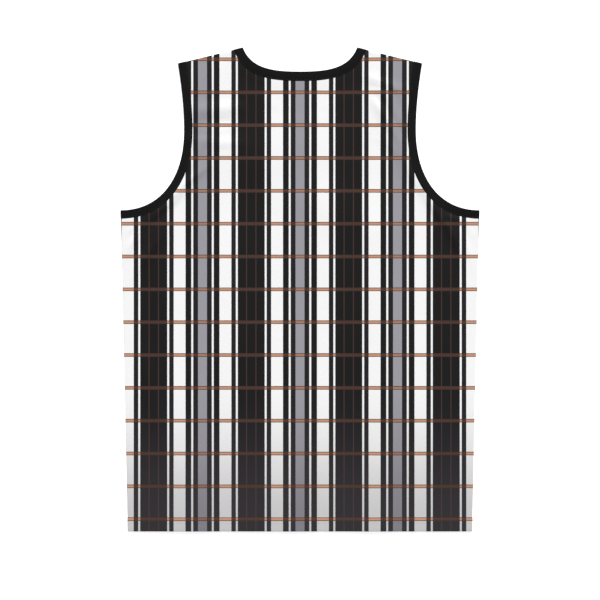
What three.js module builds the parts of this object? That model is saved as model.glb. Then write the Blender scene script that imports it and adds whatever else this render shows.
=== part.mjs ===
// A sleeveless basketball jersey laid flat on its front, with its back upwards.
// Sizes are in millimetres. X runs across the chest, Y from the hem to the neck, and Z up from the surface.
// The origin is on the surface, under the middle of the garment's outline.
// Five sewn pieces: a back panel, a front panel, and a folded strip that binds the neck and each armhole.
import * as THREE from "three";
import { mergeVertices } from "three/addons/utils/BufferGeometryUtils.js";

// The cut, measured flat: half widths from the centre line, and drops below the neck end of the shoulder.
// At a seam the line lies in the middle of the cloth, whose outer face stands a little further out.
const bodyLength = 755.2;
const seamStandsOut = 0.7;
const top = bodyLength / 2 - seamStandsOut;
const hemY = -bodyLength / 2;
const chestHalf = 279.3;
const hemHalf = 268.4;
const underarmDrop = 253.4;
const neckHalf = 89;
const shoulderTipHalf = 190.5;
const shoulderDrop = 25;
const backNeckDrop = 37.2;
const frontNeckDrop = 108;
const backWaistHalf = 180.8;
const frontWaistHalf = 168;
const armholeWaistDrop = 128.2;

// The cloth: wall thickness, strip widths, and the gap kept between sewn pieces
const seamGap = 0.3;
const panelCloth = { thickness: 1.2, seamClearance: seamGap / 2 };
const bindingCloth = { thickness: 1.6, seamClearance: 0 };
const neckBindingWidth = 13.3;
const armholeBindingWidth = 12;
const bindingRound = 0.45;
const hemDepth = 20;
const hemStep = 2;
const hemExtra = { back: { outer: 0.5, inner: 0 }, front: { outer: 0, inner: 0.2 } };

// Where the cloth turns over at the side and shoulder seams, from the upper layer to the lower one
const turnRadius = 0.95;
const turnSettle = 30;
const reliefFade = { side: 45, shoulder: 32 };

// Soft creases and swells of the upper layer: where the middle lies, its direction from +X in degrees,
// its length and half width, and the height of the ridge, or of the trough where it is negative
const creases = [
  { name: "right strap, shoulder", x: 134, y: 320, angle: -20, length: 76, width: 9, height: 1.2 },
  { name: "right strap, upper", x: 145, y: 285, angle: -57, length: 92, width: 8, height: 1.3 },
  { name: "right strap, middle", x: 142, y: 256, angle: -52, length: 98, width: 8, height: 1.4 },
  { name: "right strap, lower", x: 157, y: 202, angle: -68, length: 84, width: 8, height: 1.1 },
  { name: "right armhole", x: 185, y: 171, angle: -62, length: 120, width: 8, height: 1.4 },
  { name: "right underarm, inner", x: 228, y: 103, angle: -62, length: 84, width: 9, height: 1.4 },
  { name: "right underarm, outer", x: 256, y: 68, angle: -67, length: 76, width: 8, height: 1.3 },
  { name: "left strap, upper", x: -131, y: 281, angle: 4, length: 86, width: 9, height: 1.6 },
  { name: "left strap, lower", x: -132, y: 230, angle: -4, length: 92, width: 9.5, height: 1.5 },
  { name: "left strap, beside the armhole", x: -160, y: 210, angle: 58, length: 72, width: 8, height: 1.3 },
  { name: "left armhole, middle", x: -172, y: 171, angle: 42, length: 92, width: 9, height: 1.3 },
  { name: "left armhole, lower", x: -210, y: 132, angle: 38, length: 74, width: 8, height: 1.2 },
  { name: "left underarm, outer", x: -262, y: 68, angle: 69, length: 78, width: 8, height: 1.5 },
  { name: "left underarm, inner", x: -234, y: 62, angle: 56, length: 104, width: 11, height: 1.6 },
  { name: "upper back swell", x: -36, y: 214, angle: 8, length: 190, width: 44, height: 1.5 },
  { name: "blade swell", x: 62, y: 120, angle: -22, length: 210, width: 38, height: 1.3 },
  { name: "left body swell", x: -118, y: -34, angle: 81, length: 290, width: 40, height: 2.1 },
  { name: "right body swell", x: 132, y: -86, angle: 97, length: 330, width: 46, height: 1.9 },
  { name: "middle trough", x: 14, y: -120, angle: 84, length: 260, width: 34, height: -0.9 },
  { name: "left hem wave", x: -176, y: -328, angle: 86, length: 150, width: 26, height: 2.4 },
  { name: "middle hem wave", x: -22, y: -342, angle: 93, length: 120, width: 30, height: 1.7 },
  { name: "right hem wave", x: 118, y: -322, angle: 84, length: 170, width: 24, height: 2.6 },
  { name: "right side crease", x: 232, y: -190, angle: 76, length: 150, width: 14, height: 1.3 },
  { name: "left side crease", x: -236, y: -150, angle: 102, length: 130, width: 13, height: 1.2 },
];
const restingLoft = 0.5;

// How finely the cloth is divided: rows up the body, beside the armhole below the neckline, and beside the
// neckline, and columns from the middle outwards. split is the share of the armhole below the neckline.
// underarmDip is how far the row that ends at the underarm sinks towards the centre line.
const divisions = {
  back: { bodyRows: 24, armholeRows: 18, neckRows: 12, columns: 18, split: 0.8 },
  front: { bodyRows: 6, armholeRows: 12, neckRows: 12, columns: 4, split: 0.62 },
};
const turnSteps = [0.75, 1.5, 7];
const underarmDip = 35;

const upper = 1;
const lower = -1;
const right = 1;
const left = -1;

const vec = (x, y) => new THREE.Vector2(x, y);
const smooth = (from, to, value) => THREE.MathUtils.smoothstep(value, from, to);

const neckPoint = vec(neckHalf, top);
const shoulderTip = vec(shoulderTipHalf, top - shoulderDrop);
const underarm = vec(chestHalf, top - underarmDrop);
const hemCorner = vec(hemHalf, hemY);

// The two straight seams of the right half, each with the way along it and the way out of the garment
const seams = {
  side: { from: underarm, along: hemCorner.clone().sub(underarm).normalize() },
  shoulder: { from: neckPoint, along: shoulderTip.clone().sub(neckPoint).normalize() },
};
seams.side.out = vec(-seams.side.along.y, seams.side.along.x);
seams.shoulder.out = vec(-seams.shoulder.along.y, seams.shoulder.along.x);

// A smooth edge through corner points, each stretch a cubic curve between two points with their handles
function edgeCurve(...stretches) {
  const path = new THREE.CurvePath();
  for (const points of stretches) path.add(new THREE.CubicBezierCurve(...points));
  return path;
}

// A neckline's right half, from the centre line up to the shoulder seam
function neckline(drop, bottomHandle, topHandle) {
  return edgeCurve([
    vec(0, top - drop),
    vec(bottomHandle, top - drop),
    neckPoint.clone().sub(topHandle),
    neckPoint,
  ]);
}

// The right armhole, from the underarm up past its narrowest place to the tip of the shoulder
function armhole(waistHalf, underarmHandle, lowerHandle) {
  const waist = vec(waistHalf, top - armholeWaistDrop);
  const upperHandle = 33.5;
  const tipHandle = vec(5.6, upperHandle);
  return edgeCurve(
    [underarm, vec(chestHalf - underarmHandle, underarm.y), vec(waistHalf, waist.y - lowerHandle), waist],
    [waist, vec(waistHalf, waist.y + upperHandle), shoulderTip.clone().sub(tipHandle), shoulderTip],
  );
}

// The bound edges of one face. turn is the side of the curve on which the cloth lies.
function boundEdges(neckCurve, armholeCurve, { armholeRows, neckRows, split }) {
  const down = seams.side.along;
  const inwards = seams.shoulder.along.clone().negate();
  return {
    neck: {
      curve: neckCurve,
      length: neckCurve.getLength(),
      turn: -1,
      width: neckBindingWidth,
      rows: neckRows,
      rowsBefore: 0,
      split: 0,
      endSeam: seams.shoulder.along,
    },
    armhole: {
      curve: armholeCurve,
      length: armholeCurve.getLength(),
      turn: 1,
      width: armholeBindingWidth,
      rows: neckRows,
      rowsBefore: armholeRows,
      split,
      startSeam: down,
      endSeam: inwards,
    },
  };
}
const edges = {
  back: boundEdges(
    neckline(backNeckDrop, 39.2, vec(12.6, 33.7)),
    armhole(backWaistHalf, 58.8, 78.9),
    divisions.back,
  ),
  front: boundEdges(
    neckline(frontNeckDrop, 52, vec(15, 70)),
    armhole(frontWaistHalf, 68, 84),
    divisions.front,
  ),
};

// Distances along a bound edge at which its cloth is divided, closer together where it turns over at a seam
function stationDistances(edge, clearance) {
  const nearSeam = [clearance, ...turnSteps];
  const start = edge.startSeam ? nearSeam : [0];
  const end = [...nearSeam].reverse().map((distance) => edge.length - distance);
  const middle = edge.length * edge.split;
  const even = (from, to, count) =>
    Array.from({ length: count }, (_, i) => THREE.MathUtils.lerp(from, to, (i + 1) / count));
  return [
    ...start,
    ...even(start.at(-1), middle, edge.rowsBefore),
    ...even(middle, end[0], edge.rows),
    ...end.slice(1),
  ];
}

// The point at a distance along a bound edge, moved into the cloth by depth, along the seam near a seam
const seamBlend = 26;
function edgePoint(edge, distance, depth) {
  const share = THREE.MathUtils.clamp(distance / edge.length, 0, 1);
  const tangent = edge.curve.getTangentAt(share);
  const inward = vec(-tangent.y * edge.turn, tangent.x * edge.turn);
  if (edge.startSeam) inward.lerp(edge.startSeam, 1 - smooth(0, seamBlend, distance));
  if (edge.endSeam) inward.lerp(edge.endSeam, 1 - smooth(0, seamBlend, edge.length - distance));
  const point = edge.curve.getPointAt(share).addScaledVector(inward.normalize(), depth);
  if (!edge.startSeam && distance === 0) point.x = 0;
  return point;
}

// How far a point of the right half lies inside a seam
function distanceInside(seam, point) {
  return Math.max(0, -point.clone().sub(seam.from).dot(seam.out));
}

// Height of the upper layer's creases over its flat rest
function relief(x, y) {
  let height = restingLoft;
  for (const crease of creases) {
    const angle = THREE.MathUtils.degToRad(crease.angle);
    const along = (x - crease.x) * Math.cos(angle) + (y - crease.y) * Math.sin(angle);
    const across = (y - crease.y) * Math.cos(angle) - (x - crease.x) * Math.sin(angle);
    const endwise = along / (crease.length / 2);
    height += crease.height * Math.exp(-((across / crease.width) ** 2) - endwise ** 4);
  }
  return Math.max(0, height);
}

// Lays one point of the cut on the surface. proud is its distance outwards from the middle of the wall.
function lay(point, hand, layer, cloth, proud) {
  const place = point.clone();
  let angle = Math.PI / 2;
  let out = vec(0, 0);
  let fade = 1;
  for (const [name, seam] of Object.entries(seams)) {
    const inside = distanceInside(seam, point);
    const turned = Math.min(inside / turnRadius, Math.PI / 2);
    const slack = (Math.PI / 2 - 1) * turnRadius;
    const flatPlace = inside - slack * Math.max(0, 1 - (inside - (Math.PI / 2) * turnRadius) / turnSettle);
    const planPlace = turned < Math.PI / 2 ? turnRadius * (1 - Math.cos(turned)) : flatPlace;
    place.addScaledVector(seam.out, inside - planPlace);
    fade *= smooth(0, reliefFade[name], inside);
    if (turned < angle) {
      angle = turned;
      out = seam.out;
    }
  }
  const seamHeight = cloth.thickness / 2 + turnRadius;
  const rise = Math.max(cloth.seamClearance, (turnRadius + proud) * Math.sin(angle));
  const lift = layer === upper ? fade * relief(hand * place.x, place.y) : 0;
  place.addScaledVector(out, proud * Math.cos(angle));
  const height = seamHeight + layer * rise + lift;
  return new THREE.Vector3(hand * place.x, place.y, height);
}

// Collects triangles from quads and makes one closed geometry of them
class Wall {
  constructor() {
    this.positions = [];
  }

  quad(a, b, c, d, flipped) {
    const corners = flipped ? [a, c, b, a, d, c] : [a, b, c, a, c, d];
    for (const corner of corners) this.positions.push(corner.x, corner.y, corner.z);
  }

  geometry() {
    const geometry = new THREE.BufferGeometry();
    geometry.setAttribute("position", new THREE.Float32BufferAttribute(this.positions, 3));
    const welded = mergeVertices(geometry, 1e-4);
    welded.computeVertexNormals();
    return welded;
  }
}

// Rows of the right half of a panel. Each runs from the centre line, or the neckline above it, out to the
// side seam, or the armhole above that. bend curves a row so that it meets the armhole squarely.
function panelRows(face) {
  const { neck, armhole: hole } = edges[face];
  const clearance = panelCloth.seamClearance;
  const onNeck = stationDistances(neck, clearance).map((d) => edgePoint(neck, d, neck.width + seamGap));
  const onHole = stationDistances(hole, clearance).map((d) => edgePoint(hole, d, hole.width + seamGap));
  const corner = onHole[0];
  const neckStart = onHole.length - onNeck.length;
  const rows = [];

  const foldEnd = hemDepth + hemStep / 2;
  const bodyHeight = corner.y - hemY;
  const heights = [0, foldEnd - hemStep, foldEnd];
  for (let i = 1; i <= divisions[face].bodyRows; i++) {
    heights.push(THREE.MathUtils.lerp(foldEnd, bodyHeight, i / divisions[face].bodyRows));
  }
  for (const height of heights) {
    const share = height / bodyHeight;
    const outer = vec(THREE.MathUtils.lerp(hemHalf - clearance, corner.x, share), hemY + height);
    rows.push({ inner: vec(0, outer.y - underarmDip * share ** 3), outer, bend: 2, onCentre: true });
  }

  const centreAtCorner = vec(0, corner.y - underarmDip);
  const reach = stationDistances(hole, clearance);
  for (let i = 1; i <= neckStart; i++) {
    const share = (reach[i] - reach[0]) / (reach[neckStart] - reach[0]);
    const inner = centreAtCorner.clone().lerp(onNeck[0], share);
    rows.push({ inner, outer: onHole[i], bend: 2 - share, onCentre: true });
  }
  for (let i = 1; i < onNeck.length; i++) {
    rows.push({ inner: onNeck[i], outer: onHole[neckStart + i], bend: 1, onCentre: false });
  }
  return rows;
}

// The points along one row, from its inner to its outer end, where the last few follow the turn at the seam
function rowPoints({ inner, outer, bend }, columns) {
  const span = outer.distanceTo(inner);
  const nearSeam = turnSteps.map((distance) => 1 - (distance - panelCloth.seamClearance) / span).reverse();
  const shares = Array.from({ length: columns }, (_, i) => (nearSeam[0] * i) / columns);
  return [...shares, ...nearSeam, 1].map((share) =>
    vec(
      THREE.MathUtils.lerp(inner.x, outer.x, share),
      THREE.MathUtils.lerp(inner.y, outer.y, share ** bend),
    ),
  );
}

// One panel: a wall with an outer and an inner face, thicker along its turned-up hem
function panelGeometry(face) {
  const wall = new Wall();
  const layer = face === "back" ? upper : lower;
  const rows = panelRows(face);
  const points = rows.map((row) => rowPoints(row, divisions[face].columns));
  const hemEnd = hemY + hemDepth;
  for (const hand of [right, left]) {
    const flipped = hand * layer < 0;
    const inHem = (point) => 1 - smooth(hemEnd - hemStep / 2, hemEnd + hemStep / 2, point.y);
    const wallFace = (side, extra) =>
      points.map((row) =>
        row.map((point) =>
          lay(point, hand, layer, panelCloth, side * (panelCloth.thickness / 2 + extra * inHem(point))),
        ),
      );
    const outer = wallFace(1, hemExtra[face].outer);
    const inner = wallFace(-1, hemExtra[face].inner);
    const lastRow = rows.length - 1;
    const lastColumn = points[0].length - 1;
    const rim = (i, j, m, n) => wall.quad(inner[i][j], inner[m][n], outer[m][n], outer[i][j], flipped);
    for (let i = 0; i < lastRow; i++) {
      for (let j = 0; j < lastColumn; j++) {
        wall.quad(outer[i][j], outer[i][j + 1], outer[i + 1][j + 1], outer[i + 1][j], flipped);
        wall.quad(inner[i][j], inner[i + 1][j], inner[i + 1][j + 1], inner[i][j + 1], flipped);
      }
      rim(i, lastColumn, i + 1, lastColumn);
      if (!rows[i + 1].onCentre) rim(i + 1, 0, i, 0);
    }
    for (let j = 0; j < lastColumn; j++) {
      rim(0, j, 0, j + 1);
      rim(lastRow, j + 1, lastRow, j);
    }
  }
  return wall.geometry();
}

// Corners of a binding's section: depth into the cloth from its free edge, and distance out of its middle
function sectionCorners(width) {
  const half = bindingCloth.thickness / 2;
  return [
    { depth: 0, proud: -half },
    { depth: 0, proud: half - bindingRound },
    { depth: bindingRound, proud: half },
    { depth: width - bindingRound, proud: half },
    { depth: width, proud: half - bindingRound },
    { depth: width, proud: -half },
  ];
}

// A closed ring of cloth: one section at each station, joined in order and round to the first one again
function ringGeometry(stations, flipped) {
  const wall = new Wall();
  const sections = stations.map(({ edge, distance, hand, layer }) =>
    sectionCorners(edge.width).map(({ depth, proud }) =>
      lay(edgePoint(edge, distance, depth), hand, layer, bindingCloth, proud),
    ),
  );
  sections.forEach((section, i) => {
    const next = sections[(i + 1) % sections.length];
    section.forEach((corner, j) => {
      const k = (j + 1) % section.length;
      wall.quad(corner, next[j], next[k], section[k], flipped);
    });
  });
  return wall.geometry();
}

// The stations of one bound edge on one hand and layer
function runAlong(edge, hand, layer) {
  const distances = stationDistances(edge, bindingCloth.seamClearance);
  return distances.map((distance) => ({ edge, distance, hand, layer }));
}

// Up the back of one armhole, over the shoulder seam, and down the front of it
function armholeBinding(hand) {
  const up = runAlong(edges.back.armhole, hand, upper);
  const down = runAlong(edges.front.armhole, hand, lower).reverse();
  return ringGeometry([...up, ...down.slice(1, -1)], hand === left);
}

// Round the back of the neck from the left shoulder to the right, and round the front of it back again
function neckBinding() {
  const stations = [
    ...runAlong(edges.back.neck, left, upper).reverse(),
    ...runAlong(edges.back.neck, right, upper).slice(1),
    ...runAlong(edges.front.neck, right, lower).reverse().slice(1),
    ...runAlong(edges.front.neck, left, lower).slice(1, -1),
  ];
  return ringGeometry(stations, true);
}

const printedKnit = new THREE.MeshStandardMaterial({ color: 0x8d8c90, roughness: 0.72, metalness: 0 });
const blackKnit = new THREE.MeshStandardMaterial({ color: 0x1c1c1d, roughness: 0.8, metalness: 0 });

function piece(name, geometry, material) {
  const mesh = new THREE.Mesh(geometry, material);
  mesh.name = name;
  return mesh;
}

const jersey = new THREE.Group();
jersey.add(
  piece("back_panel", panelGeometry("back"), printedKnit),
  piece("front_panel", panelGeometry("front"), printedKnit),
  piece("neck_binding", neckBinding(), blackKnit),
  piece("armhole_binding_left", armholeBinding(left), blackKnit),
  piece("armhole_binding_right", armholeBinding(right), blackKnit),
);

export default jersey;
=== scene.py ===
"""A sleeveless basketball jersey that lies flat with its back upwards.

Sizes in the tables are millimetres and the meshes are metres. X runs across the chest, Y from the hem up to
the neck, and Z up from the surface. Points of the cut are worked out flat for the right half of the garment,
laid over the seams and creases by Bed, and mirrored by a Hand.
"""

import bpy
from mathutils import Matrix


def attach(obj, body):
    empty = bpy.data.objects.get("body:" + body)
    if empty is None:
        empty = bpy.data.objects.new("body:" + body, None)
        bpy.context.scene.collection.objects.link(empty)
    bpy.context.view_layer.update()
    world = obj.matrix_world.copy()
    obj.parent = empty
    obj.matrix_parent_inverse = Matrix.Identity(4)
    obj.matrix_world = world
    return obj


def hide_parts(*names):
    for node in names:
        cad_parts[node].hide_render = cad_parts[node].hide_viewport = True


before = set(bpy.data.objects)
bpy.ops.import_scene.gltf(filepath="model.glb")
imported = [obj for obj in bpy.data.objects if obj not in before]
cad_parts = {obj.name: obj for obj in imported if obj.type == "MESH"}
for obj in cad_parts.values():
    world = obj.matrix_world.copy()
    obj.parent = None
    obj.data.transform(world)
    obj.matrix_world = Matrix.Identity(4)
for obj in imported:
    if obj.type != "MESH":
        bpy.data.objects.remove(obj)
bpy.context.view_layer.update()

import logging
import math
from dataclasses import dataclass, field
from enum import Enum

import bpy
import numpy as np

log = logging.getLogger("jersey")

MM = 0.001
QUARTER = math.pi / 2


class Face(Enum):
    """The two layers of the garment as it lies."""

    BACK = "back"
    FRONT = "front"

    @property
    def layer(self) -> int:
        """1 for the layer on top, -1 for the one underneath."""
        return 1 if self is Face.BACK else -1


class Hand(Enum):
    """The side of the garment, seen from above with the neck at the top."""

    RIGHT = 1
    LEFT = -1


def smooth(low: float, high: float, value: np.ndarray) -> np.ndarray:
    """An even rise from 0 at low to 1 at high.

    Args:
        low: The value where the rise starts.
        high: The value where it ends.
        value: Where it is asked for.

    Returns:
        The share of the rise at each value.
    """
    share = np.clip((value - low) / (high - low), 0.0, 1.0)
    return share * share * (3.0 - 2.0 * share)


def unit(vectors: np.ndarray) -> np.ndarray:
    """The same directions with length 1."""
    return vectors / np.linalg.norm(vectors, axis=-1, keepdims=True)


def placed(name: str, data: bpy.types.ID) -> bpy.types.Object:
    """A new object with this data, in the scene."""
    piece = bpy.data.objects.new(name, data)
    bpy.context.scene.collection.objects.link(piece)
    return piece


@dataclass(frozen=True)
class Seam:
    """A straight seam of the right half, where the upper layer turns over into the lower one."""

    start: tuple[float, float]
    end: tuple[float, float]
    relief_fade: float

    @property
    def along(self) -> np.ndarray:
        """The direction from its start to its end."""
        return unit(np.subtract(self.end, self.start))

    @property
    def out(self) -> np.ndarray:
        """The direction out of the garment, across the seam."""
        return np.array([-self.along[1], self.along[0]])

    def inside(self, points: np.ndarray) -> np.ndarray:
        """How far points of the cut lie inside the seam line."""
        return np.maximum(0.0, -(points - np.array(self.start)) @ self.out)


class BoundEdge:
    """A curved edge of the cut with a folded strip on it, measured along its length."""

    SAMPLES = 400
    SEAM_BLEND = 26.0
    SEAM_STEPS = np.array([0.0, 0.37, 0.75, 1.12, 1.5, 2.4])

    def __init__(
        self,
        stretches: list[list[tuple[float, float]]],
        turn: int,
        width: float,
        start_seam: np.ndarray | None,
        end_seam: np.ndarray,
    ) -> None:
        """Samples the curve.

        Args:
            stretches: Cubic curves, each as its two ends with two handles between them.
            turn: 1 where the cloth lies to the left of the curve, -1 where it lies to the right.
            width: Width of the strip on it.
            start_seam: The way along the seam that it starts on, into the cloth, or None on the centre line.
            end_seam: The way along the seam that it ends on, into the cloth.
        """
        share = np.linspace(0.0, 1.0, self.SAMPLES)[:, None]
        pieces = []
        for a, b, c, d in np.array(stretches):
            rest = 1.0 - share
            pieces.append(rest**3 * a + 3 * rest**2 * share * b + 3 * rest * share**2 * c + share**3 * d)
        points = np.concatenate([pieces[0], *[piece[1:] for piece in pieces[1:]]])
        steps = np.linalg.norm(np.diff(points, axis=0), axis=1)
        self.points = points
        self.reach = np.concatenate([[0.0], np.cumsum(steps)])
        self.tangents = unit(np.gradient(points, self.reach, axis=0))
        self.turn = turn
        self.width = width
        self.start_seam = start_seam
        self.end_seam = end_seam

    @property
    def length(self) -> float:
        """Length of the edge."""
        return float(self.reach[-1])

    def _at(self, table: np.ndarray, distance: np.ndarray) -> np.ndarray:
        """Reads a table of the curve at distances along it."""
        return np.stack([np.interp(distance, self.reach, table[:, axis]) for axis in (0, 1)], axis=-1)

    def inward(self, distance: np.ndarray) -> np.ndarray:
        """The direction from the edge into the cloth, which swings round to the seam near each seam.

        Args:
            distance: Distances along the edge.

        Returns:
            A direction for each distance.
        """
        tangent = self._at(self.tangents, distance)
        across = np.stack([-tangent[..., 1], tangent[..., 0]], axis=-1) * self.turn
        if self.start_seam is not None:
            near = 1.0 - smooth(0.0, self.SEAM_BLEND, distance)[..., None]
            across = across + (self.start_seam - across) * near
        near = 1.0 - smooth(0.0, self.SEAM_BLEND, self.length - distance)[..., None]
        return unit(across + (self.end_seam - across) * near)

    def point(self, distance: np.ndarray, depth: np.ndarray | float) -> np.ndarray:
        """Points of the cut beside the edge.

        Args:
            distance: Distances along the edge.
            depth: How far into the cloth each one lies.

        Returns:
            The points, with x and y last.
        """
        place = self._at(self.points, distance) + self.inward(distance) * np.asarray(depth)[..., None]
        if self.start_seam is None:
            place[..., 0] = np.where(np.asarray(distance) <= 0.0, 0.0, place[..., 0])
        return place

    def sections(self, spacing: float) -> np.ndarray:
        """Distances along the whole edge for a strip's sections, closer together near its seams.

        Args:
            spacing: The distance between sections away from the seams.

        Returns:
            The distances, from one end to the other.
        """
        start = self.SEAM_STEPS if self.start_seam is not None else np.array([0.0])
        end = self.length - self.SEAM_STEPS[::-1]
        count = int((end[0] - start[-1]) / spacing)
        return np.concatenate([start, np.linspace(start[-1], end[0], count + 1)[1:], end[1:]])


@dataclass(frozen=True)
class Cut:
    """The flat cut: half widths from the centre line, and drops below the neck end of the shoulder."""

    body_length: float = 755.2
    seam_stands_out: float = 0.7
    chest_half: float = 279.3
    hem_half: float = 268.4
    underarm_drop: float = 253.4
    neck_half: float = 89.0
    tip_half: float = 190.5
    shoulder_drop: float = 25.0
    neck_drop: dict[Face, float] = field(default_factory=lambda: {Face.BACK: 37.2, Face.FRONT: 108.0})
    waist_half: dict[Face, float] = field(default_factory=lambda: {Face.BACK: 180.8, Face.FRONT: 168.0})
    waist_drop: float = 128.2
    neck_band: float = 14.8
    armhole_band: float = 13.2
    hem_depth: float = 20.0
    side_relief_fade: float = 45.0
    shoulder_relief_fade: float = 32.0

    @property
    def top(self) -> float:
        """Height of the neck ends of the shoulder seams."""
        return self.body_length / 2 - self.seam_stands_out

    @property
    def hem_y(self) -> float:
        """Height of the hem."""
        return -self.body_length / 2

    @property
    def underarm(self) -> tuple[float, float]:
        """The upper end of the right side seam."""
        return (self.chest_half, self.top - self.underarm_drop)

    @property
    def tip(self) -> tuple[float, float]:
        """The outer end of the right shoulder seam."""
        return (self.tip_half, self.top - self.shoulder_drop)

    @property
    def side_seam(self) -> Seam:
        """The right side seam, from the underarm down."""
        return Seam(self.underarm, (self.hem_half, self.hem_y), self.side_relief_fade)

    @property
    def shoulder_seam(self) -> Seam:
        """The right shoulder seam, from the neck outwards."""
        return Seam((self.neck_half, self.top), self.tip, self.shoulder_relief_fade)

    def neckline(self, face: Face) -> BoundEdge:
        """The right half of one face's neckline, from the centre line up to the shoulder seam."""
        bottom = self.top - self.neck_drop[face]
        bottom_handle, lean, rise = {Face.BACK: (39.2, 12.6, 33.7), Face.FRONT: (52.0, 15.0, 70.0)}[face]
        curve = [
            (0.0, bottom),
            (bottom_handle, bottom),
            (self.neck_half - lean, self.top - rise),
            (self.neck_half, self.top),
        ]
        return BoundEdge([curve], -1, self.neck_band, None, self.shoulder_seam.along)

    def armhole(self, face: Face) -> BoundEdge:
        """The right armhole of one face, from the underarm past its narrowest place to the shoulder tip."""
        underarm_handle, lower_handle = {Face.BACK: (58.8, 78.9), Face.FRONT: (68.0, 84.0)}[face]
        upper_handle, lean = 33.5, 5.6
        waist = (self.waist_half[face], self.top - self.waist_drop)
        lower = [
            self.underarm,
            (self.chest_half - underarm_handle, self.underarm[1]),
            (waist[0], waist[1] - lower_handle),
            waist,
        ]
        upper = [
            waist,
            (waist[0], waist[1] + upper_handle),
            (self.tip_half - lean, self.tip[1] - upper_handle),
            self.tip,
        ]
        return BoundEdge(
            [lower, upper], 1, self.armhole_band, self.side_seam.along, -self.shoulder_seam.along
        )


@dataclass(frozen=True)
class Crease:
    """A soft ridge of the upper layer, or a trough where its height is negative.

    x and y are its middle, angle its direction in degrees from +X, and length and width its whole length and
    its half width. bow is how far its ends bend to the left of that direction.
    """

    x: float
    y: float
    angle: float
    length: float
    width: float
    height: float
    bow: float = 0.0

    def lift(self, x: np.ndarray, y: np.ndarray) -> np.ndarray:
        """Its height at places on the cloth."""
        turn = math.radians(self.angle)
        along = (x - self.x) * math.cos(turn) + (y - self.y) * math.sin(turn)
        endwise = along / (self.length / 2)
        across = (y - self.y) * math.cos(turn) - (x - self.x) * math.sin(turn) - self.bow * endwise**2
        return self.height * np.exp(-((across / self.width) ** 2) - endwise**4)


def creases(*rows: tuple[float, ...]) -> tuple[Crease, ...]:
    """Creases from rows of their fields."""
    return tuple(Crease(*row) for row in rows)


# Columns: x, y, angle, length, width, height, bow
FOLDS = creases(
    # The right strap, and the right armhole down to the underarm
    (134, 320, -20, 76, 9, 1.2),
    (145, 285, -57, 92, 8, 1.3),
    (142, 256, -52, 98, 8, 1.4),
    (157, 202, -68, 84, 8, 1.1),
    (185, 171, -62, 120, 8, 1.4),
    (228, 103, -62, 84, 9, 1.4),
    (256, 68, -67, 76, 8, 1.3),
    # The left strap, and the left armhole down to the underarm
    (-131, 281, 4, 86, 9, 1.6),
    (-132, 230, -4, 92, 9.5, 1.5),
    (-160, 210, 58, 72, 8, 1.3),
    (-172, 171, 42, 92, 9, 1.3),
    (-210, 132, 38, 74, 8, 1.2),
    (-262, 68, 69, 78, 8, 1.5),
    (-234, 62, 56, 104, 11, 1.6),
    # Broad swells of the body and waves of the hem
    (-36, 214, 8, 190, 44, 1.5),
    (62, 120, -22, 210, 38, 1.3),
    (-118, -34, 81, 290, 40, 2.1),
    (132, -86, 97, 330, 46, 1.9),
    (14, -120, 84, 260, 34, -0.9),
    (-176, -328, 86, 150, 26, 2.4),
    (-22, -342, 93, 120, 30, 1.7),
    (118, -322, 84, 170, 24, 2.6),
    (232, -190, 76, 150, 14, 1.3),
    (-236, -150, 102, 130, 13, 1.2),
)

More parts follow.
